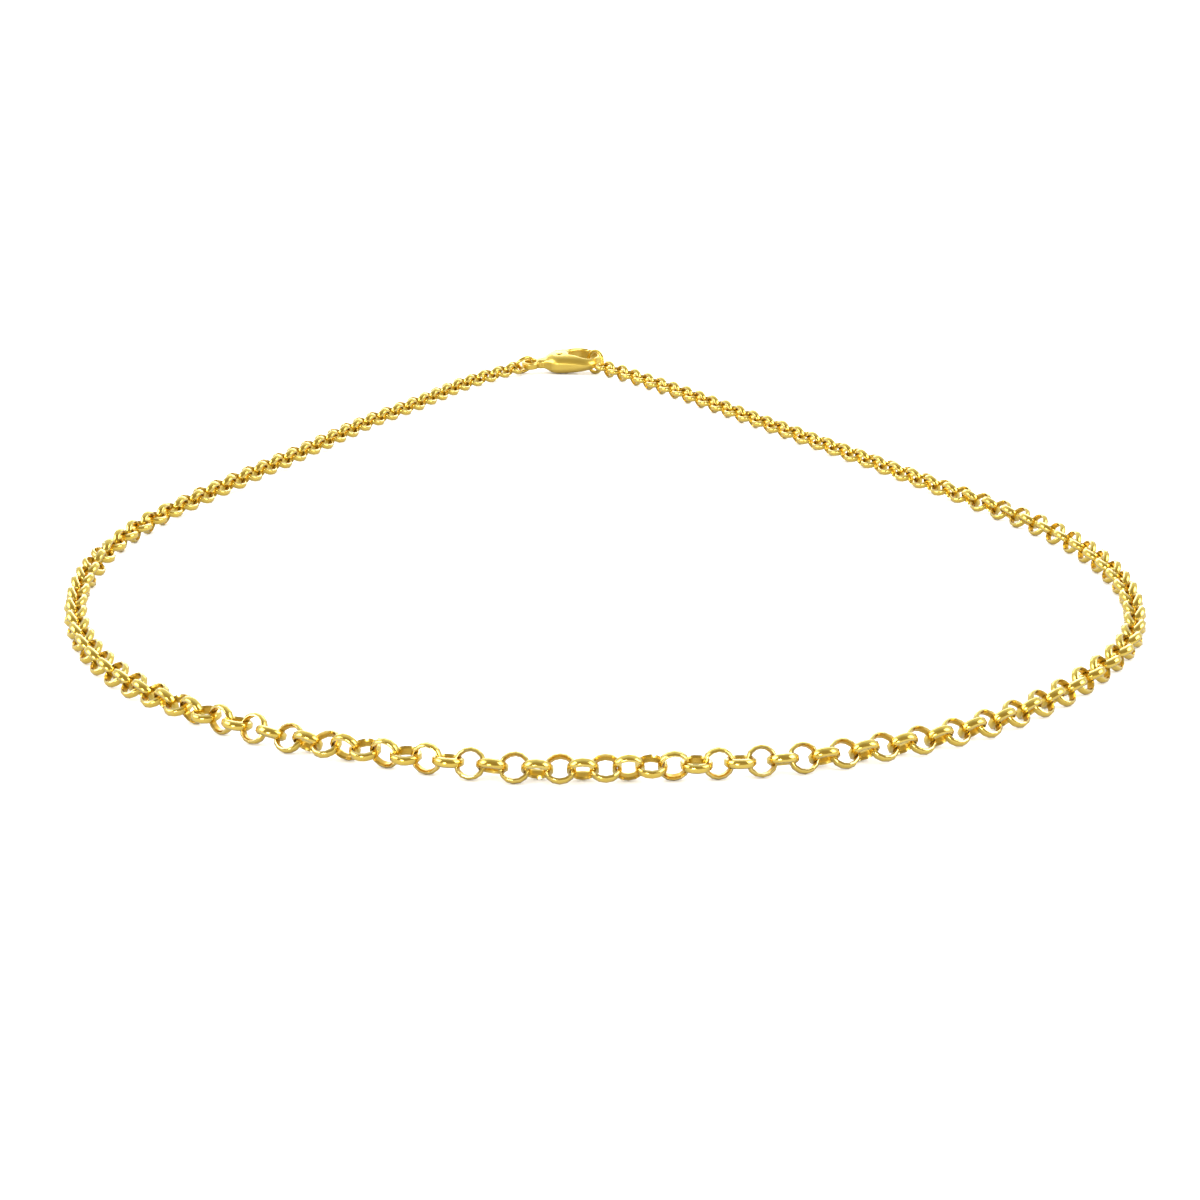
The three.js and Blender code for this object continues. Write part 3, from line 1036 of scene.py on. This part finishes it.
table_material = bpy.data.materials.new("table_white")
table_material.use_nodes = True
table_tree = table_material.node_tree
table_shader = table_tree.nodes["Principled BSDF"]
table_shader.inputs["Roughness"].default_value = 1.0
table_shader.inputs["Specular IOR Level"].default_value = 0.0
table_rays = add_node(table_tree, "ShaderNodeLightPath")
in_table_mirror = table_rays.outputs["Is Glossy Ray"]
table_colour = blend_colour(table_tree, in_table_mirror, TABLE_WHITE, TABLE_IN_MIRROR)
table_tree.links.new(table_colour, table_shader.inputs["Base Color"])
table_mesh.materials.append(table_material)
print("table reaches", TABLE_REACH, "m each way")

# %% The tent
TENT_WHITE = (1.8, 1.8, 1.8, 1)
TENT_BRIGHT_SIDE = (0.0, 1.0, 0.0)
TENT_IN_MIRROR = [
    # place from the dark side (0) to the bright side (1), colour
    (0.0, (0.34, 0.27, 0.15)), (0.2, (0.35, 0.28, 0.16)), (0.35, (0.42, 0.38, 0.31)),
    (0.5, (0.62, 0.61, 0.60)), (0.65, (0.78, 0.78, 0.78)), (1.0, (0.78, 0.78, 0.78)),
]


def ramp(tree, source, stops):
    """A colour ramp through the given places."""
    node = add_node(tree, "ShaderNodeValToRGB")
    elements = node.color_ramp.elements
    for spot, colour in stops[1:-1]:
        elements.new(spot)
    for element, (spot, colour) in zip(elements, stops):
        element.position = spot
        element.color = (*colour, 1)
    tree.links.new(source, node.inputs["Fac"])
    return node.outputs["Color"]


world = bpy.data.worlds.new("tent")
bpy.context.scene.world = world
world.use_nodes = True
world_tree = world.node_tree
tent = world_tree.nodes["Background"]
tent_rays = add_node(world_tree, "ShaderNodeLightPath")
outlook = add_node(world_tree, "ShaderNodeTexCoord").outputs["Generated"]
heading = add_node(world_tree, "ShaderNodeVectorMath", operation="DOT_PRODUCT")
world_tree.links.new(outlook, heading.inputs[0])
heading.inputs[1].default_value = TENT_BRIGHT_SIDE
# the dot product runs from -1 to 1, and the ramp from 0 to 1
dark_to_bright = reckon(world_tree, "MULTIPLY_ADD", heading.outputs["Value"], 0.5, 0.5)
in_tent_mirror = ramp(world_tree, dark_to_bright, TENT_IN_MIRROR)
seen = blend_colour(world_tree, tent_rays.outputs["Is Glossy Ray"], TENT_WHITE, in_tent_mirror)
world_tree.links.new(seen, tent.inputs["Color"])
print("tent:", len(world_tree.nodes), "nodes, brightest towards", TENT_BRIGHT_SIDE)

# %% The soft boxes
SOFT_BOXES = [
    # name, place, width and height in metres, watts
    ("box_left", (-0.42, -0.16, 0.22), (0.30, 0.28), 1.1),
    ("box_right", (0.42, -0.16, 0.22), (0.30, 0.28), 1.1),
    ("box_behind", (0.0, 0.60, 0.28), (0.90, 0.40), 2.4),
    ("box_front", (-0.20, -0.55, 0.06), (0.16, 0.10), 0.7),
]


def soft_box(name, spot, size, watts):
    """A lamp that shines from a rectangle towards the middle of the table."""
    data = bpy.data.lights.new(name, "AREA")
    data.shape = "RECTANGLE"
    data.size, data.size_y = size
    data.energy = watts
    lamp = bpy.data.objects.new(name, data)
    lamp.location = spot
    lamp.rotation_euler = (-Vector(spot)).to_track_quat("-Z", "Y").to_euler()
    bpy.context.scene.collection.objects.link(lamp)


for name, spot, size, watts in SOFT_BOXES:
    soft_box(name, spot, size, watts)
bpy.context.scene.view_settings.view_transform = "Standard"
print("soft boxes:", [name for name, *_ in SOFT_BOXES])
